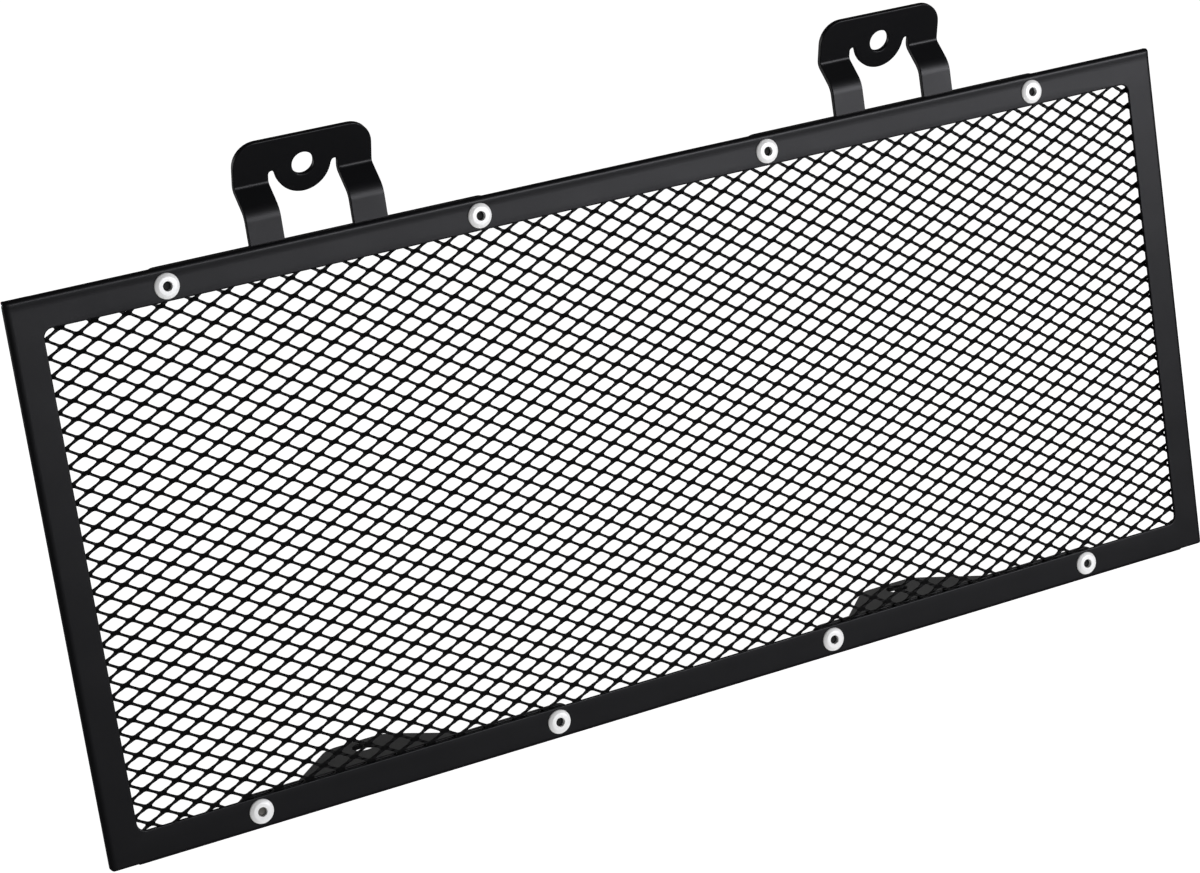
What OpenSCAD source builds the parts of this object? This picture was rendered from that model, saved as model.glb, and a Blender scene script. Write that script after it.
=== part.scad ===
// Radiator guard: a folded sheet frame, a screen of expanded metal behind its window,
// two upper and two lower sheet brackets, and eight blind rivets that clamp them together.
// X runs across, Y from front to back and Z up. The origin lies midway between the two
// lower bracket holes, on the upper face of their flanges.

/* [Frame] */
// Overall width of the frame
frame_w = 435.8; // [400:0.1:520]
// Overall height of the frame
frame_h = 188.8; // [150:0.1:240]
// Thickness of the frame sheet
frame_t = 1.2; // [0.8:0.1:1.3]
// Width of the face, from the outer edge to the window
face_w = 11.1; // [9.5:0.1:14]
// Radius of the window's corners
window_r = 3; // [1:0.5:8]
// Outer radius of the fold between the face and its lips
fold_r = 1.4; // [1.3:0.1:2.4]
// Length of each corner that has no upper or lower lip
corner_relief = 9.5; // [4:0.5:20]
// Radius of the frame's outer corners
corner_r = 1.2; // [0.5:0.1:2]

/* [Screen] */
// Overall thickness of the expanded metal
screen_t = 1.8; // [1.2:0.1:2.5]
// Long way of one diamond, from centre to centre
diamond_l = 11; // [9:0.5:14]
// Short way of one diamond, from centre to centre
diamond_s = 5.87; // [5:0.01:8]
// Width of the strands between the diamonds
strand_w = 0.85; // [0.7:0.05:1.4]
// Times that the diamonds and strands are drawn larger than they are
draw_scale = 2.8; // [2.4:0.1:4]
// Gap between the screen and the folds around it
screen_gap = 0.1; // [0.05:0.05:0.5]
// Width of the mesh that each rivet crushes flat behind the face
patch_d = 7.6; // [6:0.1:8]

/* [Brackets] */
// Thickness of the bracket sheet
bracket_t = 2; // [1.5:0.1:3]
// Inner radius of the bracket folds
bracket_fold_r = 1.6; // [1:0.1:2]
// Length of the foot beyond each of its two rivets
foot_overhang = 6.5; // [5:0.5:10]
// Radius of the foot's corners
foot_r = 4.5; // [2:0.1:4.7]
// Diameter of the mounting holes
hole_d = 8.2; // [5:0.1:9]

/* [Upper brackets] */
// Width of each leg
leg_w = 12.15; // [8:0.05:16]
// Gap between the two legs
leg_gap = 24.3; // [24:0.1:32]
// Height of the lower bend above the frame
leg_rise = 10.05; // [8:0.05:20]
// Height that the sloping part of a leg climbs
joggle_rise = 8; // [7:0.1:14]
// Depth that the sloping part of a leg goes back
joggle_depth = 6.3; // [4:0.1:9]
// Angle by which the tab leans forward
tab_lean = 20; // [0:1:30]
// Height of the hole above the upper bend, along the tab
hole_rise = 4.1; // [3:0.1:6]
// Distance from the hole to the tab's top edge
tab_reach = 10.7; // [9:0.1:16]
// Radius of the tab's upper corners
tab_r = 8; // [3:0.5:9]
// Radius of the lobe round the hole
lobe_r = 9.9; // [8:0.1:10.8]
// Distance of the ends of the slots beside the lobe below the hole's centre
slot_drop = 0.5; // [0:0.1:2]

/* [Lower brackets] */
// Height of the flange's upper face above the frame's lower edge
flange_level = 1.95; // [0.5:0.05:2.4]
// Reach of the flange behind the face of the frame
flange_reach = 53.5; // [40:0.5:80]
// Distance from the hole to the flange's tip
tip_reach = 8.1; // [7:0.1:14]
// Width of the flange where it leaves the foot
root_w = 103; // [80:0.5:104]
// Width of the tip, between the straight sides drawn on
tip_w = 22; // [18:0.5:40]
// Radius of the tip's corners
tip_r = 9; // [4:0.5:10]
// Width of the slots that free the fold from the ends of the foot
relief_w = 1.2; // [0.8:0.1:2]

/* [Rivets] */
// Distance between neighbouring rivets
rivet_pitch = 110; // [95:1:120]
// Distance from the frame's outer edge to the rivets
rivet_inset = 6.05; // [5.6:0.05:6.7]
// Diameter of a rivet's shank
rivet_d = 4; // [3.2:0.1:4.2]
// Diameter of a rivet's head
head_d = 8.4; // [7:0.1:9]
// Height of a rivet's head
head_h = 1.15; // [0.9:0.05:1.6]
// Thickness of the head at its rim
rim_h = 0.4; // [0.2:0.05:0.6]
// Diameter of the flat on top of the head
flat_d = 4.6; // [4:0.1:6]
// Diameter of the hole that the mandrel is drawn through
draw_d = 2.4; // [2:0.1:2.6]
// Diameter of that hole's mouth in the head
mouth_d = 3.3; // [2.8:0.1:3.8]
// Diameter of the tail that the setting spreads behind the bracket
tail_d = 5.4; // [5:0.1:6]
// Length of that tail
tail_l = 2.6; // [2:0.1:4]
// Radius of the tail's outer edge
tail_r = 1; // [0.4:0.1:1]
// Clearance of the shank in its holes, on the radius
shank_gap = 0.05; // [0.02:0.01:0.1]
// Diameter of the broken mandrel
mandrel_d = 2.3; // [1.8:0.05:2.35]
// Diameter of the mandrel's head
bulb_d = 3.6; // [3:0.1:4]
// Length of the mandrel's head
bulb_l = 1.2; // [0.8:0.1:2]
// Depth of the mandrel's broken end below the top of the rivet
break_depth = 1.3; // [0.5:0.1:3]

/* [Hidden] */
$fn = 24;

COAT = "#26272a";
SCREEN_COAT = "#141415";
BRIGHT = "#d9dadc";
STEEL = "#7c7a77";

// Every solid is drawn about the middle of the frame's front plane, then put in its place
lip_depth = frame_t + screen_t;
back = lip_depth + bracket_t;
hole_depth = flange_reach - tip_reach;
flange_top = -frame_h / 2 + flange_level;
EPS = 0.01;
NICK = 0.02;
BEND_STEPS = 6;

window_w = frame_w - 2 * face_w;
window_h = frame_h - 2 * face_w;
screen_w = frame_w - 2 * (fold_r + screen_gap);
screen_h = frame_h - 2 * (fold_r + screen_gap);

rivet_x = [for (k = [-1.5, -0.5, 0.5, 1.5]) k * rivet_pitch];
rivet_z = frame_h / 2 - rivet_inset;
rivet_hole_d = rivet_d + 2 * shank_gap;
foot_w = rivet_pitch + 2 * foot_overhang;
legs_w = leg_gap + 2 * leg_w;

// Slope of a leg's oblique part, and how far each bend reaches along the front face
slope = atan(joggle_depth / joggle_rise);
lower_bend_l = (bracket_fold_r + bracket_t) * tan(slope / 2);
upper_bend_l = bracket_fold_r * tan((slope + tab_lean) / 2);
oblique_l = norm([joggle_depth, joggle_rise]) - lower_bend_l - upper_bend_l;

module placed() {
    translate([0, -hole_depth, -flange_top]) children();
}

// Turns a drawing in X and Z into a plate from the depth y, away from the viewer
module plate(y, t) {
    translate([0, y + t, 0]) rotate([90, 0, 0]) linear_extrude(t) children();
}

// Turns a drawing in Y and Z into a bar from x, to the right
module bar(x, w) {
    translate([x, 0, 0]) rotate([90, 0, 90]) linear_extrude(w) children();
}

module rounded(w, h, r) {
    square([w - 2 * r, h], center = true);
    square([w, h - 2 * r], center = true);
    for (sx = [-1, 1], sy = [-1, 1])
        translate([sx * (w / 2 - r), sy * (h / 2 - r)]) circle(r);
}

// Ring of a sheet's thickness between two angles, which are under 180 degrees apart
module arc(r, t, from, to) {
    far = 2 * (r + t);
    intersection() {
        difference() {
            circle(r + t);
            circle(r);
        }
        polygon([
            [0, 0],
            far * [cos(from), sin(from)],
            far * [cos((from + to) / 2), sin((from + to) / 2)],
            far * [cos(to), sin(to)]
        ]);
    }
}

module rivet_holes(d, row = [-1, 1]) {
    for (x = rivet_x, s = row) translate([x, s * rivet_z]) circle(d = d);
}

// Section of one lip: the fold and the short straight edge behind it
module lip_section() {
    translate([-fold_r, fold_r]) arc(fold_r - frame_t, frame_t, -90, 0);
    translate([-frame_t, fold_r]) square([frame_t, lip_depth - fold_r]);
}

module frame() {
    color(COAT) intersection() {
        union() {
            plate(0, frame_t) difference() {
                union() {
                    square([frame_w - 2 * fold_r, frame_h - 2 * fold_r], center = true);
                    for (s = [-1, 1]) translate([s * (frame_w - corner_relief - fold_r) / 2, 0])
                        square([corner_relief - fold_r, frame_h], center = true);
                }
                rounded(window_w, window_h, window_r);
                rivet_holes(rivet_hole_d);
            }
            for (s = [0, 1]) mirror([s, 0, 0]) translate([frame_w / 2, 0, -frame_h / 2])
                linear_extrude(frame_h) lip_section();
            for (s = [0, 1]) mirror([0, 0, s]) translate([0, 0, frame_h / 2])
                rotate([0, -90, 0]) linear_extrude(frame_w - 2 * corner_relief, center = true)
                    lip_section();
        }
        plate(-EPS, lip_depth + 2 * EPS) rounded(frame_w, frame_h, corner_r);
    }
}

// The diamonds form rows, each shifted by half a diamond from the one below
cell_l = diamond_l * draw_scale;
cell_s = diamond_s * draw_scale;
opening = 1 - strand_w * draw_scale * norm([cell_l, cell_s]) / (cell_l * cell_s);
cell_columns = ceil(screen_w / cell_l / 2) + 1;
cell_rows = ceil(screen_h / cell_s) + 1;
least_bite = 1.2;

module diamond() {
    polygon(opening / 2 * [[cell_l, 0], [0, cell_s], [-cell_l, 0], [0, -cell_s]]);
}

function beyond(distance, size) = max(abs(distance) - size / 2, 0);

function near_rivet(p) =
    min([for (x = rivet_x) norm([beyond(p.x - x, cell_l), beyond(rivet_z - abs(p.y), cell_s)])])
        < patch_d / 2;

// A diamond that broke through two edges would leave the corner between them loose, so it is left out
function at_corner(p) =
    abs(p.x) > (screen_w - opening * cell_l) / 2 && abs(p.y) > (screen_h - opening * cell_s) / 2;

module diamonds() {
    reach = [screen_w, screen_h] / 2 + opening / 2 * [cell_l, cell_s] - [least_bite, least_bite];
    for (row = [-cell_rows : cell_rows], column = [-cell_columns : cell_columns]) {
        centre = [(column + (row % 2 == 0 ? 0 : 0.5)) * cell_l, row * cell_s / 2];
        if (abs(centre.x) < reach.x && abs(centre.y) < reach.y && !at_corner(centre)) {
            if (near_rivet(centre)) intersection() {
                translate(centre) diamond();
                square([screen_w, frame_h - 2 * face_w], center = true);
            }
            else translate(centre) diamond();
        }
    }
}

module screen() {
    color(SCREEN_COAT) plate(frame_t, screen_t) difference() {
        square([screen_w, screen_h], center = true);
        diamonds();
        rivet_holes(rivet_hole_d);
    }
}

// Foot of a bracket, behind the face: s is 1 on the upper member and -1 on the lower one
module foot(s) {
    plate(lip_depth, bracket_t) difference() {
        translate([0, s * (frame_h - face_w) / 2]) rounded(foot_w, face_w, foot_r);
        for (x = [-1, 1]) translate([x * rivet_pitch / 2, s * rivet_z]) circle(d = rivet_hole_d);
    }
}

function arc_points(centre, r, from, to) = [
    for (k = [0 : BEND_STEPS]) let (a = from + (to - from) * k / BEND_STEPS)
        centre + r * [cos(a), sin(a)]
];

function opposite(points) = [for (k = [len(points) - 1 : -1 : 0]) points[k]];

// Side view of a leg, in Y and Z: it runs up from the foot, slopes back and then leans forward.
// Each bend has its centre, and the tab starts where the upper bend ends
lower_centre = [lip_depth + bracket_t + bracket_fold_r, frame_h / 2 + leg_rise - lower_bend_l];
upper_centre = lower_centre + (2 * bracket_fold_r + bracket_t) * [-cos(slope), sin(slope)]
    + oblique_l * [sin(slope), cos(slope)];
tab_foot = upper_centre + bracket_fold_r * [cos(tab_lean), sin(tab_lean)];
tab_up = [-sin(tab_lean), cos(tab_lean)];
tab_back = bracket_t * [cos(tab_lean), sin(tab_lean)];
hole_z = hole_rise - upper_bend_l;
tab_top = hole_z + tab_reach;

module leg_side() {
    foot_z = (frame_h - face_w) / 2;
    outer_r = bracket_fold_r + bracket_t;
    front = concat(
        arc_points(lower_centre, outer_r, 180, 180 - slope),
        arc_points(upper_centre, bracket_fold_r, -slope, tab_lean),
        [tab_foot + tab_top * tab_up]
    );
    rear = concat(
        arc_points(lower_centre, bracket_fold_r, 180, 180 - slope),
        arc_points(upper_centre, outer_r, -slope, tab_lean),
        [tab_foot + tab_top * tab_up + tab_back]
    );
    polygon(concat([[lip_depth, foot_z]], front, opposite(rear), [[back, foot_z]]));
}

module tab_side() {
    low = tab_foot + (hole_z - leg_gap / 2) * tab_up;
    high = tab_foot + tab_top * tab_up;
    polygon([low, high, high + tab_back, low + tab_back]);
}

// Cuts a drawing through the tab: it is drawn upwards along the tab from the upper bend
module tab_cut() {
    translate([0, tab_foot.x, tab_foot.y]) rotate([tab_lean, 0, 0])
        plate(-bracket_t, 3 * bracket_t) children();
}

module tab_corner(s) {
    centre = [legs_w / 2, tab_top] - (tab_r + NICK) * [1, 1];
    difference() {
        translate([s * (centre.x + tab_r), centre.y + tab_r]) square(2 * tab_r, center = true);
        translate([s * centre.x, centre.y]) circle(tab_r);
    }
}

// What is cut from between the legs: it leaves a lobe, with a round-ended slot on each side
module lobe_surround() {
    slot_w = leg_gap / 2 - lobe_r;
    slot_z = hole_z - slot_drop - slot_w / 2;
    difference() {
        translate([-leg_gap, slot_z - leg_gap]) square([2 * leg_gap, leg_gap]);
        translate([0, hole_z]) circle(lobe_r);
    }
    for (s = [-1, 1]) translate([s * (leg_gap - slot_w) / 2, slot_z]) circle(slot_w / 2 - NICK);
}

module upper_bracket(s) {
    color(COAT) translate([s * rivet_pitch, 0, 0]) {
        foot(1);
        for (t = [-1, 1]) difference() {
            bar(t * (leg_gap + leg_w) / 2 - leg_w / 2, leg_w) leg_side();
            tab_cut() tab_corner(t);
        }
        difference() {
            bar(-leg_gap / 2, leg_gap) tab_side();
            tab_cut() lobe_surround();
            tab_cut() translate([0, hole_z]) circle(d = hole_d);
        }
    }
}

// Flange of a lower bracket, drawn in X and Y: straight sides run to a blunt round tip
module flange_outline() {
    root = [root_w / 2, back + bracket_fold_r];
    corner = [tip_w / 2, flange_reach];
    side = (corner - root) / norm(corner - root);
    out = [side.y, -side.x];
    tip_turn = atan2(-side.x, side.y);
    centre = corner - [tip_r * tan((90 - tip_turn) / 2), tip_r];
    right = [root, centre + tip_r * out, [centre.x, corner.y]];
    polygon(concat(right, [for (k = [2, 1, 0]) [-right[k].x, right[k].y]]));
    for (s = [-1, 1]) translate([s * centre.x, centre.y]) circle(tip_r);
}

module lower_bracket(s) {
    fold_z = flange_top + bracket_fold_r;
    cut_w = root_w + 2 * relief_w;
    color(COAT) translate([s * rivet_pitch, 0, 0]) {
        difference() {
            foot(-1);
            plate(0, back + EPS) translate([-cut_w / 2, -frame_h]) square([cut_w, frame_h + fold_z]);
        }
        bar(-root_w / 2, root_w) translate([back + bracket_fold_r, fold_z])
            arc(bracket_fold_r, bracket_t, 180, 270);
        translate([0, 0, flange_top - bracket_t]) linear_extrude(bracket_t) difference() {
            flange_outline();
            translate([0, hole_depth]) circle(d = hole_d);
        }
    }
}

// Half section of a set rivet: radius, then depth behind the frame's face
module rivet_section() {
    mouth = [mouth_d / 2, -head_h];
    throat = [draw_d / 2, -head_h / 3];
    head = [[flat_d / 2, -head_h], [head_d / 2, -rim_h], [head_d / 2, 0]];
    shank = [[rivet_d / 2, 0], [rivet_d / 2, back], [tail_d / 2, back]];
    tail = [tail_d / 2 - tail_r, back + tail_l - tail_r];
    bulge = [for (a = [0 : 30 : 90]) tail + tail_r * [cos(a), sin(a)]];
    polygon(concat([throat, mouth], head, shank, bulge, [[draw_d / 2, back + tail_l]]));
}

module at_rivet(k, s) {
    translate([rivet_x[k], 0, s * rivet_z]) rotate([-90, 0, 0]) children();
}

module rivet(k, s) {
    color(BRIGHT) at_rivet(k, s) rotate_extrude($fn = 16) rivet_section();
}

module mandrel(k, s) {
    $fn = 16;
    color(STEEL) at_rivet(k, s) {
        translate([0, 0, break_depth - head_h])
            cylinder(d = mandrel_d, h = back + tail_l + bulb_l + head_h - break_depth);
        translate([0, 0, back + tail_l]) cylinder(d1 = bulb_d, d2 = mandrel_d, h = bulb_l);
    }
}

placed() frame();
placed() screen();
placed() upper_bracket(-1);  // upper_bracket_left
placed() upper_bracket(1);  // upper_bracket_right
placed() lower_bracket(-1);  // lower_bracket_left
placed() lower_bracket(1);  // lower_bracket_right
placed() rivet(0, 1);  // rivet_upper_1
placed() rivet(1, 1);  // rivet_upper_2
placed() rivet(2, 1);  // rivet_upper_3
placed() rivet(3, 1);  // rivet_upper_4
placed() rivet(0, -1);  // rivet_lower_1
placed() rivet(1, -1);  // rivet_lower_2
placed() rivet(2, -1);  // rivet_lower_3
placed() rivet(3, -1);  // rivet_lower_4
placed() mandrel(0, 1);  // mandrel_upper_1
placed() mandrel(1, 1);  // mandrel_upper_2
placed() mandrel(2, 1);  // mandrel_upper_3
placed() mandrel(3, 1);  // mandrel_upper_4
placed() mandrel(0, -1);  // mandrel_lower_1
placed() mandrel(1, -1);  // mandrel_lower_2
placed() mandrel(2, -1);  // mandrel_lower_3
placed() mandrel(3, -1);  // mandrel_lower_4
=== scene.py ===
"""Radiator guard in a plain studio. Every sheet part is cut flat, given rounded edges and then folded, the
screen is built cell by cell, and the rivets are turned. Lengths are in metres, in the model's frame."""

import math

import bmesh
import bpy
from mathutils import Matrix, Vector

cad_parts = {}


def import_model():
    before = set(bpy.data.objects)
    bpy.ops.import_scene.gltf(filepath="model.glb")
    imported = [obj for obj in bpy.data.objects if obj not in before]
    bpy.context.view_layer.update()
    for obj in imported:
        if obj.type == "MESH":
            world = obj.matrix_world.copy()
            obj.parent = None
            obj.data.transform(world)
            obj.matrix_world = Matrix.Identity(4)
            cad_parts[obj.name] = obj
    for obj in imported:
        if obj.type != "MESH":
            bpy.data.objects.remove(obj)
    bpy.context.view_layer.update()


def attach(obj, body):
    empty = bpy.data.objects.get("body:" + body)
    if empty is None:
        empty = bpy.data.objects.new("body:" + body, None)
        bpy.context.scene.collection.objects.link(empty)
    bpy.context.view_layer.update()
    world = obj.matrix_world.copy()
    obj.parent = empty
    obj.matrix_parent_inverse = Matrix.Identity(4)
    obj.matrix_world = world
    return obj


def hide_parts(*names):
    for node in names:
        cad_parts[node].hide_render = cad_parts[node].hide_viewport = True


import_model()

MM = 0.001

# Frame
FRAME_W = 435.8 * MM
FRAME_H = 188.8 * MM
FRAME_T = 1.2 * MM
FACE_W = 11.1 * MM
WINDOW_R = 3.0 * MM
FRAME_EDGE_R = 0.45 * MM  # rounding of the cut edges, coat and all
FOLD_R = 1.4 * MM  # outside of the folds
RELIEF = 9.5 * MM  # corner that has no upper or lower lip
LIP_DEPTH = 3.0 * MM

# Slow bends of the face before each fold: pairs of a front radius and an angle in degrees
LEFT_BENDS = [(6.0 * MM, 10)]
RIGHT_BENDS = [(2.4 * MM, 40)]
TOP_BENDS = [(18.0 * MM, -5.5), (14.0 * MM, 3.5)]  # a shallow groove
BOTTOM_BENDS = []

# Corners of the frame's blank, past the line where the upper or lower fold starts
UPPER_STUB = 4.2 * MM
LOWER_STUB = 1.1 * MM
NOTCH_RISE = 0.4 * MM  # up to the end of the side lip
NOTCH_GAP = 0.2 * MM  # between the side lip and the stub
LIP_CORNER_R = 0.8 * MM
STUB_SLANT = 0.8 * MM
STUB_BEVEL_W = 0.5 * MM
STUB_BEVEL_H = 0.3 * MM

# Screen
SCREEN_MARGIN = 1.5 * MM  # from the frame's outer edge to the screen's
SCREEN_W = FRAME_W - 2 * SCREEN_MARGIN
SCREEN_H = FRAME_H - 2 * SCREEN_MARGIN
SCREEN_T = 1.8 * MM
DIAMOND_L = 11.0 * MM
DIAMOND_S = 5.87 * MM
WAVE = 0.5 * MM  # how far the twist of the strands lifts them
# One quarter of an opening, from its right-hand end to its top, in millimetres
OPENING = [(3.92, 0.0), (3.78, 0.25), (2.57, 1.02), (1.32, 1.82), (0.7, 2.2), (0.0, 2.36)]
# Where the lines along the middle of the strands are divided, as shares of a quarter
STRAND_SHARES = (0.0, 0.15, 0.4, 0.6, 0.85, 1.0)
# Uneven stretch in millimetres: everywhere, growing along the width, bowed, and growing with the height
DRIFT_X = (-1.87, 0.2, -1.7, 0.5)
DRIFT_Z = (1.37, -1.0, 1.0, 0.2)

# Rivets
RIVET_PITCH = 110.0 * MM
RIVET_INSET = 6.05 * MM
SHANK_R = 2.0 * MM
RIVET_HOLE_R = SHANK_R + 0.05 * MM
HEAD_H = 1.15 * MM
# The head's outside, from its flat ring to the rim: radius and depth in millimetres
HEAD_PROFILE = [(2.85, -1.15), (3.0, -1.13), (3.15, -1.06), (3.95, -0.6), (4.12, -0.46), (4.2, -0.3),
                (4.22, -0.15), (4.15, 0.0)]
MOUTH_R = 1.7 * MM
MOUTH_BEVEL = 0.1 * MM
BORE_R = 1.6 * MM  # wide bore inside the head
BORE_DEPTH = 0.8 * MM
DRAW_R = 1.2 * MM
DRAW_DEPTH = 1.0 * MM  # where the bore has narrowed to DRAW_R
TAIL_R = 2.7 * MM
TAIL_L = 2.6 * MM
TAIL_EDGE_R = 1.0 * MM

# Mandrels
MANDREL_R = 1.15 * MM
BREAK_DEPTH = 1.1 * MM
BARE_RISE = 0.3 * MM  # how much higher the bare one ends
# The broken end, from its middle outwards: radius and depth in millimetres
BROKEN_END = [(0.0, 0.12), (0.6, 0.1), (1.0, 0.0), (1.5, 0.3)]
STEM_R = 1.5 * MM  # in the rivet's wide bore
STEM_DEPTH = 0.7 * MM
STEM_SLOPE = 0.05 * MM
BULB_R = 1.8 * MM
BULB_L = 1.2 * MM
BULB_TAPER_R = 0.15 * MM
BULB_TAPER_L = 0.4 * MM

# Brackets
BRACKET_T = 2.0 * MM
BRACKET_R = 1.6 * MM  # inside of the folds
BRACKET_EDGE_R = 0.35 * MM
FOOT_W = RIVET_PITCH + 2 * 6.5 * MM
FOOT_R = 4.5 * MM
HOLE_R = 3.9 * MM

LEG_W = 12.15 * MM
LEG_GAP = 24.3 * MM
LEG_RISE = 10.05 * MM
LEG_R = 8.0 * MM  # front of the slow bend where the legs step back
JOGGLE_RISE = 8.0 * MM
JOGGLE_DEPTH = 6.3 * MM
TAB_LEAN = math.radians(20)
HOLE_RISE = 4.1 * MM
TAB_REACH = 10.7 * MM
TAB_R = 8.0 * MM
LOBE_R = 9.9 * MM
SLOT_DROP = 0.5 * MM

FLANGE_LEVEL = 1.95 * MM
FLANGE_REACH = 53.5 * MM
TIP_REACH = 8.1 * MM
ROOT_W = 103.0 * MM
TIP_W = 22.0 * MM
TIP_R = 9.0 * MM
RELIEF_W = 1.2 * MM

# Places about the middle of the frame's front face. Y is depth there, and Z is height
BACK = LIP_DEPTH + BRACKET_T
FRONT_Y = -(FLANGE_REACH - TIP_REACH)
MIDDLE_Z = FRAME_H / 2 - FLANGE_LEVEL
PLACE = Matrix.Translation((0, FRONT_Y, MIDDLE_Z))
RIVET_X = [k * RIVET_PITCH for k in (-1.5, -0.5, 0.5, 1.5)]
RIVET_Z = FRAME_H / 2 - RIVET_INSET

# Studio
FLOOR_Z = -BRACKET_T - 0.2 * MM
FLOOR_SIZE = 6.0
LIGHTS_TO = (0, 0, 0.1)
CAMERA_AT = Vector((-0.47306, -1.00449, 0.34397))
CAMERA_TO = Vector((-0.02357, -0.04509, 0.09772))
CAMERA_ROLL = math.radians(-8.582)
LENS = 96.17
SENSOR_W = 36.0


# Objects and meshes
def scene_object(name, data):
    obj = bpy.data.objects.new(name, data)
    bpy.context.scene.collection.objects.link(obj)
    return obj


def mesh_from(bm, name):
    mesh = bpy.data.meshes.new(name)
    bm.to_mesh(mesh)
    bm.free()
    return mesh


def baked(obj):
    """The object's shape as a bmesh, with its modifiers applied."""
    bpy.context.view_layer.update()
    mesh = bpy.data.meshes.new_from_object(obj.evaluated_get(bpy.context.evaluated_depsgraph_get()))
    bm = bmesh.new()
    bm.from_mesh(mesh)
    bpy.data.meshes.remove(mesh)
    return bm


def finish_piece(bm, name, node, coating, weighted=True):
    """Turns a bmesh into a piece that rides on the guard and stands for the node."""
    bmesh.ops.recalc_face_normals(bm, faces=bm.faces)
    mesh = mesh_from(bm, name)
    mesh.materials.append(coating)
    mesh.shade_smooth()
    mesh.set_sharp_from_angle(angle=math.radians(32))
    piece = scene_object(name, mesh)
    if weighted:
        normals = piece.modifiers.new("normals", "WEIGHTED_NORMAL")
        normals.keep_sharp = True
    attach(piece, "root")
    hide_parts(node)


# Outlines
def arc(cx, cy, r, start, end, steps=10):
    """Points on an arc, from start to end in degrees."""
    angles = [math.radians(start + (end - start) * k / steps) for k in range(steps + 1)]
    return [(cx + r * math.cos(a), cy + r * math.sin(a)) for a in angles]


def circle(cx, cy, r, steps=48):
    return arc(cx, cy, r, 0, 360, steps)[:-1]


def rivet_hole(x, y):
    return circle(x, y, RIVET_HOLE_R, 24)


def rounded(w, h, r):
    x, y = w / 2 - r, h / 2 - r
    return (arc(x, y, r, 0, 90) + arc(-x, y, r, 90, 180)
            + arc(-x, -y, r, 180, 270) + arc(x, -y, r, 270, 360))


def mirrored(right):
    """The right half of an outline, from top to bottom, and its mirror image back up."""
    return right + [(-x, y) for x, y in reversed(right)]


def in_metres(points):
    return [(x * MM, y * MM) for x, y in points]


# Folded sheets
def flat_sheet(name, loops, thickness, edge):
    """A flat sheet in X and Y with rounded edges. Its front face is at Z = 0, and it lies above that."""
    curve = bpy.data.curves.new(name, "CURVE")
    curve.dimensions = "2D"
    curve.fill_mode = "BOTH"
    curve.extrude = thickness / 2 - edge
    curve.bevel_depth = edge
    curve.bevel_resolution = 2
    curve.offset = -edge
    for loop in loops:
        spline = curve.splines.new("POLY")
        spline.points.add(len(loop) - 1)
        for point, (x, y) in zip(spline.points, loop):
            point.co = (x, y, 0, 1)
        spline.use_cyclic_u = True
    holder = scene_object(name, curve)
    bm = baked(holder)
    bpy.data.objects.remove(holder)
    bmesh.ops.remove_doubles(bm, verts=bm.verts, dist=1e-6)
    for v in bm.verts:
        v.co.z += thickness / 2
    return bm


def cut(bm, axis, places):
    """Cuts the sheet along straight lines, so that it can be folded there."""
    normal = Vector((1, 0, 0)) if axis == "x" else Vector((0, 1, 0))
    for place in places:
        bmesh.ops.bisect_plane(bm, geom=list(bm.verts) + list(bm.edges) + list(bm.faces),
                               dist=1e-7, plane_co=normal * place, plane_no=normal)


class Path:
    """Side view of a folded sheet's front face: straight runs and folds, by length along the face.
    A point is given by that length and by its depth into the sheet."""

    def __init__(self, start, heading, back=1):
        """back is 1 where the sheet's back lies to the left of its heading, and -1 on the right."""
        self.start, self.heading, self.back = Vector(start), heading, back
        self.runs, self.end = [], 0.0

    def line(self, length):
        self.runs.append((self.end, length, 0.0))
        self.end += length
        return self

    def fold(self, radius, angle):
        """Positive angles turn the sheet towards its back. The radius is the front face's."""
        length = abs(radius * angle)
        self.runs.append((self.end, length, self.back * angle / length))
        self.end += length
        return self

    def places(self, step=math.radians(9)):
        """Where the sheet has to be cut to follow the folds."""
        cuts = []
        for start, length, bend in self.runs:
            pieces = max(4 if bend else 1, math.ceil(abs(bend) * length / step))
            cuts += [start + length * k / pieces for k in range(pieces + (1 if bend else 0))]
        return sorted(set(round(c, 7) for c in cuts if c > 0))

    def point(self, s, depth, first=0):
        """The place at length s. If it lies before the run numbered first, that run is drawn on backwards."""
        at, heading = self.start.copy(), self.heading
        for k, (begin, length, bend) in enumerate(self.runs):
            here = s - begin if k == len(self.runs) - 1 else min(s - begin, length)
            if k < first:
                here = length
            elif k > first and s <= begin:
                break
            ahead = Vector((math.cos(heading), math.sin(heading)))
            if bend:
                radius = 1 / bend
                inward = Vector((-ahead.y, ahead.x))
                turned = bend * here
                at = at + ahead * (radius * math.sin(turned)) + inward * (radius * (1 - math.cos(turned)))
                heading += turned
            else:
                at = at + ahead * here
        return at + Vector((-math.sin(heading), math.cos(heading))) * depth * self.back


# Materials
def material(name, colour, roughness, metallic=0.0, specular=0.5):
    mat = bpy.data.materials.new(name)
    mat.use_nodes = True
    shader = mat.node_tree.nodes["Principled BSDF"]
    shader.inputs["Base Color"].default_value = (*colour, 1)
    shader.inputs["Roughness"].default_value = roughness
    shader.inputs["Metallic"].default_value = metallic
    shader.inputs["Specular IOR Level"].default_value = specular
    return mat


def add(tree, kind, **values):
    node = tree.nodes.new(kind)
    for key, value in values.items():
        if key in node.inputs:
            node.inputs[key].default_value = value
        else:
            setattr(node, key, value)
    return node


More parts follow.
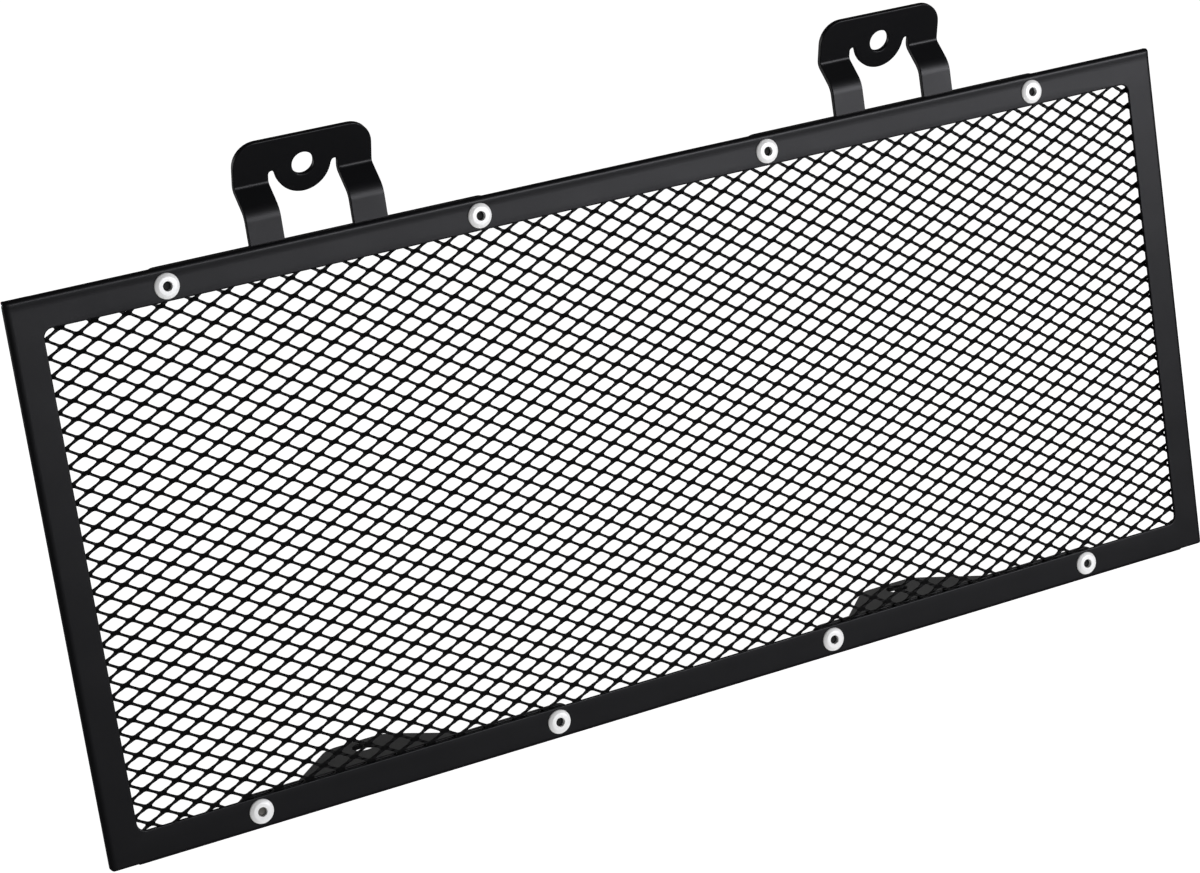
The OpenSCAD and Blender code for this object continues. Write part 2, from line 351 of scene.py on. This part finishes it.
def powder_coat(name, colour, roughness, grain, specular=0.5):
    """Black powder coat: a fine orange peel over slow waves, and roughness that wanders a little."""
    mat = material(name, colour, roughness, specular=specular)
    tree = mat.node_tree
    link = tree.links.new
    where = add(tree, "ShaderNodeTexCoord")

    def noise(scale, detail, harshness=0.5):
        node = add(tree, "ShaderNodeTexNoise", Scale=scale, Detail=detail, Roughness=harshness)
        link(where.outputs["Object"], node.inputs["Vector"])
        return node.outputs["Fac"]

    shader = tree.nodes["Principled BSDF"]
    peel = add(tree, "ShaderNodeBump", Strength=0.12, Distance=0.05 * MM)
    waves = add(tree, "ShaderNodeBump", Strength=1.0, Distance=0.25 * MM)
    spread = add(tree, "ShaderNodeMapRange")
    spread.inputs["To Min"].default_value = roughness - 0.04
    spread.inputs["To Max"].default_value = roughness + 0.04
    link(noise(scale=38.0, detail=1.0), waves.inputs["Height"])
    link(waves.outputs["Normal"], peel.inputs["Normal"])
    link(noise(scale=1 / grain, detail=2.0), peel.inputs["Height"])
    link(peel.outputs["Normal"], shader.inputs["Normal"])
    link(noise(scale=45.0, detail=3.0, harshness=0.6), spread.inputs["Value"])
    link(spread.outputs["Result"], shader.inputs["Roughness"])
    return mat


COAT = powder_coat("satin_black_coat", (0.0024, 0.0024, 0.0029), 0.38, grain=0.35 * MM)
SCREEN_COAT = powder_coat("screen_black_coat", (0.0015, 0.0015, 0.0015), 0.5, grain=0.3 * MM, specular=0.25)
BRIGHT = material("rivet_aluminium", (0.88, 0.88, 0.87), 0.42, metallic=0.35)
# Near-black steel for the mandrels deep in the rivet bores: painted shade, the darkness of the bores put into
# the steel's colour.
STEEL_WITH_PAINTED_SHADE = material("mandrel_steel", (0.008, 0.008, 0.008), 0.6, specular=0.25)
BARE_STEEL = material("mandrel_bare_steel", (0.1, 0.095, 0.085), 0.45, metallic=0.3)


# Frame: the face, with a lip folded back along each edge
def edge_path(half, bends):
    """Side view of one edge of the face: its slow bends, the fold, then the lip. Its outside comes to lie
    at half the frame's size. Also tells where the first bend starts, from the middle of the face."""
    path = Path((0, 0), 0.0)
    for radius, angle in bends:
        path.fold(radius, math.radians(angle))
    path.fold(FOLD_R, math.pi / 2 - math.radians(sum(angle for radius, angle in bends)))
    at = path.point(path.end, 0.0)
    path.line(LIP_DEPTH - at.y)
    return path, half - at.x


def edge_cuts(edge, sign):
    path, start = edge
    return [sign * (start + p) for p in path.places() + [0.0]]


def bent(edge, flat):
    """What becomes of a flat place across an edge: where it comes to lie, how far back, and its normal."""
    path, start = edge
    past = max(abs(flat) - start, 0.0)
    at = path.point(past, 0.0)
    normal = path.point(past, 1.0) - at
    sign = math.copysign(1, flat)
    return sign * (min(abs(flat), start) + at.x), at.y, sign * normal.x, normal.y


def frame_corner(sx, sz, side, level, stub):
    """One corner of the blank. It is bent like the edges beside it, and only a stub is left of its upper
    or lower lip."""
    (side_path, side_start), (level_path, level_start) = side, level
    side_lip = side_start + side_path.runs[-1][0]
    fold = level_start + level_path.runs[-2][0]
    top, notch, inner = fold + stub, fold + NOTCH_RISE, FRAME_W / 2 - RELIEF
    slant = side_lip - NOTCH_GAP - STUB_SLANT
    points = arc(side_start + side_path.end - LIP_CORNER_R, notch - LIP_CORNER_R, LIP_CORNER_R, 0, 90, 4) + [
        (side_lip - NOTCH_GAP, notch), (slant, top - STUB_BEVEL_H), (slant - STUB_BEVEL_W, top),
        (inner, top), (inner, level_start + level_path.end)]
    return [(sx * x, sz * z) for x, z in points]


def frame_sheet():
    left, right = edge_path(FRAME_W / 2, LEFT_BENDS), edge_path(FRAME_W / 2, RIGHT_BENDS)
    top, bottom = edge_path(FRAME_H / 2, TOP_BENDS), edge_path(FRAME_H / 2, BOTTOM_BENDS)
    outline = (frame_corner(1, 1, right, top, UPPER_STUB) + frame_corner(-1, 1, left, top, UPPER_STUB)[::-1]
               + frame_corner(-1, -1, left, bottom, LOWER_STUB)
               + frame_corner(1, -1, right, bottom, LOWER_STUB)[::-1])
    window = rounded(FRAME_W - 2 * FACE_W, FRAME_H - 2 * FACE_W, WINDOW_R)
    holes = [rivet_hole(x, s * RIVET_Z) for x in RIVET_X for s in (-1, 1)]
    bm = flat_sheet("frame_sheet", [outline, window] + holes, FRAME_T, FRAME_EDGE_R)
    cut(bm, "x", edge_cuts(left, -1) + edge_cuts(right, 1))
    cut(bm, "y", edge_cuts(top, 1) + edge_cuts(bottom, -1))
    for v in bm.verts:
        x, z, depth = v.co
        at_x, back_x, out_x, rear_x = bent(left if x < 0 else right, x)
        at_z, back_z, out_z, rear_z = bent(top if z > 0 else bottom, z)
        normal = Vector((out_x * max(rear_z, 0.0), rear_x * rear_z, out_z * max(rear_x, 0.0))).normalized()
        v.co = Vector((at_x, back_x + back_z, at_z)) + normal * depth
    bm.transform(PLACE)
    finish_piece(bm, "frame_sheet", "frame", COAT)


# Brackets: Y runs along the flat sheet, from the end of the foot
def bracket_holes(hole):
    """The mounting hole, at that length along the sheet, and the foot's two rivet holes."""
    return [circle(0, hole, HOLE_R)] + [
        rivet_hole(s * RIVET_PITCH / 2, FACE_W - RIVET_INSET) for s in (-1, 1)]


def finish_bracket(bm, node, x):
    bm.transform(PLACE @ Matrix.Translation((x, 0, 0)))
    finish_piece(bm, node + "_sheet", node, COAT)


def upper_bracket(node, x):
    """Foot, two legs that step back, and a tab that leans forward, with a lobe between the legs."""
    slope = math.atan2(JOGGLE_DEPTH, JOGGLE_RISE)
    lower_bend = LEG_R * math.tan(slope / 2)
    upper_bend = BRACKET_R * math.tan((slope + TAB_LEAN) / 2)
    path = Path((LIP_DEPTH, FRAME_H / 2 - FACE_W), math.pi / 2, back=-1)
    path.line(FACE_W + LEG_RISE - lower_bend)
    path.fold(LEG_R, slope)
    path.line(math.hypot(JOGGLE_DEPTH, JOGGLE_RISE) - lower_bend - upper_bend)
    path.fold(BRACKET_R, -(slope + TAB_LEAN))
    tab, tab_run = path.end, len(path.runs)
    path.line(TAB_REACH)
    hole = tab + HOLE_RISE - upper_bend
    top = hole + TAB_REACH
    inner = LEG_GAP / 2
    outer = inner + LEG_W
    right = (arc(outer - TAB_R, top - TAB_R, TAB_R, 90, 0) + [(outer, FACE_W)]
             + arc(FOOT_W / 2 - FOOT_R, FACE_W - FOOT_R, FOOT_R, 90, 0)
             + arc(FOOT_W / 2 - FOOT_R, FOOT_R, FOOT_R, 0, -90))
    slot_w = inner - LOBE_R
    slot = hole - SLOT_DROP - slot_w / 2
    touch = math.degrees(math.asin((slot - hole) / LOBE_R))
    gap = mirrored(arc(0, hole, LOBE_R, -90, touch, 16) + arc(inner - slot_w / 2, slot, slot_w / 2, 180, 0)
                   + [(inner, FACE_W)])
    # The lobe's lowest point is in both halves of the gap, so its first copy is left out
    bm = flat_sheet(node, [mirrored(right), gap[1:]] + bracket_holes(hole), BRACKET_T, BRACKET_EDGE_R)
    cut(bm, "y", path.places())
    for v in bm.verts:
        across, s, depth = v.co
        on_lobe = abs(across) < LOBE_R + slot_w / 2 and FACE_W + LEG_RISE / 4 < s < tab
        y, z = path.point(s, depth, tab_run if on_lobe else 0)
        v.co = (across, y, z)
    finish_bracket(bm, node, x)


def lower_bracket(node, x):
    """Foot, and a flange that runs back to a blunt tip."""
    foot_top = -FRAME_H / 2 + FACE_W
    straight = FACE_W - FLANGE_LEVEL - BRACKET_R
    reach = FLANGE_REACH - BACK - BRACKET_R
    path = Path((LIP_DEPTH, foot_top), -math.pi / 2)
    path.line(straight).fold(BRACKET_R + BRACKET_T, math.pi / 2)
    root = path.end
    path.line(reach)
    tip = path.end
    turn = math.degrees(math.atan2((ROOT_W - TIP_W) / 2, reach))
    corner_x = TIP_W / 2 - TIP_R * math.tan(math.radians((90 - turn) / 2))
    cut_w = ROOT_W / 2 + RELIEF_W
    right = (arc(FOOT_W / 2 - FOOT_R, FOOT_R, FOOT_R, -90, 0)
             + arc(FOOT_W / 2 - FOOT_R, FACE_W - FOOT_R, FOOT_R, 0, 90)
             + [(cut_w, FACE_W), (cut_w, straight), (ROOT_W / 2, straight), (ROOT_W / 2, root)]
             + arc(corner_x, tip - TIP_R, TIP_R, turn, 90))
    bm = flat_sheet(node, [mirrored(right)] + bracket_holes(tip - TIP_REACH), BRACKET_T, BRACKET_EDGE_R)
    cut(bm, "y", path.places())
    for v in bm.verts:
        across, s, depth = v.co
        unfolded = abs(across) > ROOT_W / 2 + RELIEF_W / 2
        y, z = (LIP_DEPTH + depth, foot_top - s) if unfolded else path.point(s, depth)
        v.co = (across, y, z)
    finish_bracket(bm, node, x)


# Screen: expanded metal, cell by cell
def around(quarter):
    """A whole outline from its first quarter, which starts on the right and ends at the top."""
    return (quarter[:-1] + [(-x, z) for x, z in reversed(quarter[1:])]
            + [(-x, -z) for x, z in quarter[:-1]] + [(x, -z) for x, z in reversed(quarter[1:])])


def drift(x, z):
    """The real sheet is stretched a little unevenly, so its rows bow and lean by about a millimetre."""
    a, b = x / (FRAME_W / 2), z / (FRAME_H / 2)
    shift_x, shift_z = (c[0] + c[1] * a + c[2] * a * a + c[3] * b for c in (DRIFT_X, DRIFT_Z))
    return x + shift_x * MM, z + shift_z * MM


def screen_grid():
    """Points of the mesh in X and Z, and the quads between the openings and the middle of the strands."""
    inside = in_metres(around(OPENING))
    outside = around([(DIAMOND_L / 2 * (1 - t), DIAMOND_S / 2 * t) for t in STRAND_SHARES])
    n = len(inside)
    index, points, quads = {}, [], []

    def vertex(x, z):
        key = (round(x / MM * 1000), round(z / MM * 1000))
        if key not in index:
            index[key] = len(points)
            points.append((x, z))
        return index[key]

    columns, rows = math.ceil(SCREEN_W / DIAMOND_L / 2) + 1, math.ceil(SCREEN_H / DIAMOND_S) + 1
    for row in range(-rows, rows + 1):
        for column in range(-columns, columns + 1):
            cx = (column + (0 if row % 2 == 0 else 0.5)) * DIAMOND_L
            cz = row * DIAMOND_S / 2
            if abs(cx) > SCREEN_W / 2 + DIAMOND_L or abs(cz) > SCREEN_H / 2 + DIAMOND_S:
                continue
            near = [vertex(cx + x, cz + z) for x, z in inside]
            far = [vertex(cx + x, cz + z) for x, z in outside]
            quads += [(near[k], near[(k + 1) % n], far[(k + 1) % n], far[k]) for k in range(n)]
    return points, quads


def screen_cells():
    """The whole mesh, larger than the screen. Its strands are lifted by their twist, row by row."""
    points, quads = screen_grid()
    half_t = SCREEN_T / 2 - WAVE
    bm = bmesh.new()
    front, back = [], []
    for x, z in points:
        at_x, at_z = drift(x, z)
        middle = FRAME_T + SCREEN_T / 2 + WAVE * math.sin(4 * math.pi * z / DIAMOND_S)
        front.append(bm.verts.new((at_x, middle - half_t, at_z)))
        back.append(bm.verts.new((at_x, middle + half_t, at_z)))
    for a, b, c, d in quads:
        bm.faces.new((front[a], front[b], front[c], front[d]))
        bm.faces.new((back[d], back[c], back[b], back[a]))
    partner = dict(zip(front, back))
    for edge in [e for e in bm.edges if len(e.link_faces) == 1 and e.verts[0] in partner]:
        p, q = edge.verts
        bm.faces.new((p, q, partner[q], partner[p]))
    bm.transform(PLACE)
    bmesh.ops.recalc_face_normals(bm, faces=bm.faces)
    return bm


def screen_trim():
    """A box that trims the mesh to the screen's size."""
    bm = bmesh.new()
    bmesh.ops.create_cube(bm, size=1.0)
    size = Matrix.Diagonal((SCREEN_W, 4 * SCREEN_T, SCREEN_H, 1))
    bm.transform(PLACE @ Matrix.Translation((0, FRAME_T + SCREEN_T / 2, 0)) @ size)
    return bm


def screen_drill():
    """Pins that drill the rivet holes."""
    bm = bmesh.new()
    for x in RIVET_X:
        for s in (-1, 1):
            at = Matrix.Translation((x, FRAME_T + SCREEN_T / 2, s * RIVET_Z))
            bmesh.ops.create_cone(bm, cap_ends=True, segments=20, radius1=RIVET_HOLE_R,
                                  radius2=RIVET_HOLE_R, depth=4 * SCREEN_T,
                                  matrix=PLACE @ at @ Matrix.Rotation(math.pi / 2, 4, "X"))
    return bm


def screen():
    sheet, box, drill = (scene_object(name, mesh_from(bm, name)) for name, bm in (
        ("screen_cells", screen_cells()), ("screen_trim", screen_trim()), ("screen_drill", screen_drill())))
    for tool, operation in ((box, "INTERSECT"), (drill, "DIFFERENCE")):
        change = sheet.modifiers.new(operation, "BOOLEAN")
        change.object = tool
        change.operation = operation
        change.solver = "MANIFOLD"
    bm = baked(sheet)
    for holder in (sheet, box, drill):
        bpy.data.objects.remove(holder)
    finish_piece(bm, "screen_mesh", "screen", SCREEN_COAT, weighted=False)


# Rivets and mandrels, turned about their axis
def turned(node, x, z, profile, slot, metal, steps=48):
    """Turns a profile of radius and depth about a rivet's axis. A profile that starts on the axis also ends
    on it, and any other one is closed."""
    bm = bmesh.new()
    rings = []
    for r, y in profile:
        angles = [2 * math.pi * k / steps for k in range(steps)] if r > 0 else [0.0]
        rings.append([bm.verts.new((r * math.cos(a), y, r * math.sin(a))) for a in angles])
    pairs = list(zip(rings, rings[1:]))
    if len(rings[0]) > 1:
        pairs.append((rings[-1], rings[0]))
    for p, q in pairs:
        for k in range(steps):
            m = (k + 1) % steps
            if len(p) == 1:
                bm.faces.new((p[0], q[k], q[m]))
            elif len(q) == 1:
                bm.faces.new((p[k], q[0], p[m]))
            else:
                bm.faces.new((p[k], q[k], q[m], p[m]))
    bm.transform(PLACE @ Matrix.Translation((x, 0, z)))
    finish_piece(bm, node + "_turned", node, metal, weighted=False)


def rivet(node, x, z):
    bore = [(DRAW_R, BACK + TAIL_L), (DRAW_R, DRAW_DEPTH), (BORE_R, BORE_DEPTH),
            (BORE_R, MOUTH_BEVEL - HEAD_H), (MOUTH_R, -HEAD_H)]
    shank = [(SHANK_R, 0.0), (SHANK_R, BACK), (TAIL_R, BACK)]
    tail = arc(TAIL_R - TAIL_EDGE_R, BACK + TAIL_L - TAIL_EDGE_R, TAIL_EDGE_R, 0, 90, 4)
    turned(node, x, z, bore + in_metres(HEAD_PROFILE) + shank + tail, "rivet_metal", BRIGHT)


def mandrel(node, x, z, bare):
    """All but one broke off deep, and their near-black steel is painted shade for the deep rivet bores. The
    bare one ends higher, and shows its steel.
    """
    end = BREAK_DEPTH - HEAD_H - (BARE_RISE if bare else 0)
    tail, bulb = BACK + TAIL_L, BACK + TAIL_L + BULB_L
    stem = [(STEM_R, STEM_DEPTH), (MANDREL_R, STEM_DEPTH + STEM_SLOPE), (MANDREL_R, tail)]
    head = [(BULB_R, tail), (BULB_R - BULB_TAPER_R, tail + BULB_TAPER_L), (MANDREL_R, bulb), (0.0, bulb)]
    profile = [(r, end + depth) for r, depth in in_metres(BROKEN_END)] + stem + head
    turned(node, x, z, profile, "mandrel_steel", BARE_STEEL if bare else STEEL_WITH_PAINTED_SHADE, 32)


# Studio
def floor():
    bm = bmesh.new()
    bmesh.ops.create_grid(bm, x_segments=1, y_segments=1, size=FLOOR_SIZE)
    mesh = mesh_from(bm, "floor")
    pale = material("pale_floor", (0.9, 0.9, 0.9), 0.8)
    shader = pale.node_tree.nodes["Principled BSDF"]
    shader.inputs["Emission Color"].default_value = (1, 1, 1, 1)
    shader.inputs["Emission Strength"].default_value = 1.0
    mesh.materials.append(pale)
    obj = scene_object("floor", mesh)
    obj.location.z = FLOOR_Z
    obj.visible_glossy = False


def world():
    """White to the camera, and dim all round as far as the guard's own light and gloss go."""
    sky = bpy.data.worlds.new("studio")
    sky.use_nodes = True
    tree = sky.node_tree
    tree.nodes.clear()
    ray = add(tree, "ShaderNodeLightPath")
    white = add(tree, "ShaderNodeBackground", Color=(1, 1, 1, 1), Strength=1.0)
    dim = add(tree, "ShaderNodeBackground", Color=(1, 1, 1, 1), Strength=0.035)
    mix = add(tree, "ShaderNodeMixShader")
    out = add(tree, "ShaderNodeOutputWorld")
    tree.links.new(ray.outputs["Is Camera Ray"], mix.inputs["Fac"])
    tree.links.new(dim.outputs["Background"], mix.inputs[1])
    tree.links.new(white.outputs["Background"], mix.inputs[2])
    tree.links.new(mix.outputs["Shader"], out.inputs["Surface"])
    bpy.context.scene.world = sky


def area_light(name, place, size, power, towards=LIGHTS_TO, colour=(1, 1, 1)):
    light = bpy.data.lights.new(name, "AREA")
    light.shape = "RECTANGLE"
    light.size, light.size_y = size
    light.energy = power
    light.color = colour
    obj = scene_object(name, light)
    obj.location = place
    obj.rotation_euler = (Vector(towards) - Vector(place)).to_track_quat("-Z", "Y").to_euler()
    return obj


def lights():
    """A softbox and a broad fill in front on the right, and two dim panels behind."""
    fill = area_light("front_fill", (1.4, -1.8, 0.15), size=(1.0, 1.0), power=39.0)
    fill.visible_glossy = False
    area_light("front_softbox", (1.22, -1.85, 0.38), size=(1.8, 0.75), power=20.0, colour=(0.98, 0.98, 1.04))
    back = area_light("back_softbox", (-1.6, 1.8, 0.45), size=(1.6, 1.0), power=5.0)
    low = area_light("low_back_panel", (0.23, 0.5, 0.15), size=(0.8, 0.12), power=0.12, towards=(0, 0, 0))
    for panel in (back, low):
        panel.visible_camera = False


def camera():
    data = bpy.data.cameras.new("camera")
    data.sensor_width = SENSOR_W
    data.sensor_fit = "HORIZONTAL"
    data.lens = LENS
    data.clip_end = 50.0
    obj = scene_object("camera", data)
    look = (CAMERA_TO - CAMERA_AT).to_track_quat("-Z", "Y").to_matrix().to_4x4()
    obj.matrix_world = Matrix.Translation(CAMERA_AT) @ look @ Matrix.Rotation(CAMERA_ROLL, 4, "Z")
    bpy.context.scene.camera = obj


frame_sheet()
screen()
for name, side in (("left", -1), ("right", 1)):
    upper_bracket("upper_bracket_" + name, side * RIVET_PITCH)
    lower_bracket("lower_bracket_" + name, side * RIVET_PITCH)
for row, side in (("upper", 1), ("lower", -1)):
    for number, place in enumerate(RIVET_X, 1):
        rivet(f"rivet_{row}_{number}", place, side * RIVET_Z)
        mandrel(f"mandrel_{row}_{number}", place, side * RIVET_Z, bare=row == "lower" and number == 1)

floor()
world()
lights()
camera()
bpy.context.scene.view_settings.view_transform = "Standard"
